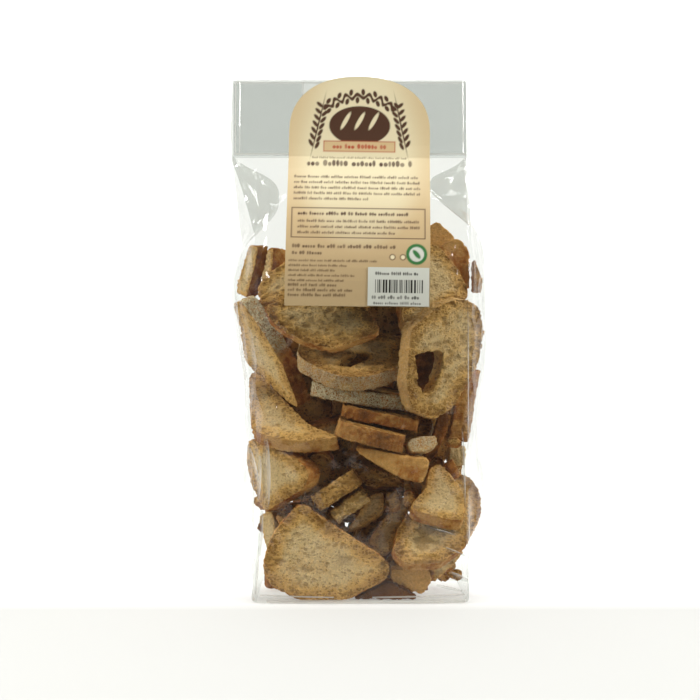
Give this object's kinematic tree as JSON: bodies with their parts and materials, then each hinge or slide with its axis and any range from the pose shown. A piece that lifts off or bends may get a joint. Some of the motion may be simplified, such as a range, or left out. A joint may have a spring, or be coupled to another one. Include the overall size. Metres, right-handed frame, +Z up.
{
  "type": "bag of rusks",
  "caption": "Clear block-bottom bag filled with slices of twice-baked bread, its flat top folded to the back, with an arch-topped paper label on the front.",
  "frame": {"origin": "middle of the base, on the surface the bag stands on", "axes": "+Z up to the folded top, -Y out of the labelled front, +X to the right as seen from the front"},
  "size_m": [0.166, 0.0946, 0.333],
  "materials": {
    "bag": "clear glossy film, here in the colour of the bread behind it",
    "label": "cream paper with dark brown and orange print",
    "bar_sticker": "white paper with black bars"
  },
  "bodies": {
    "root": {"bag": "bag", "label": "label", "bar_sticker": "bar_sticker"}
  },
  "joints": []
}
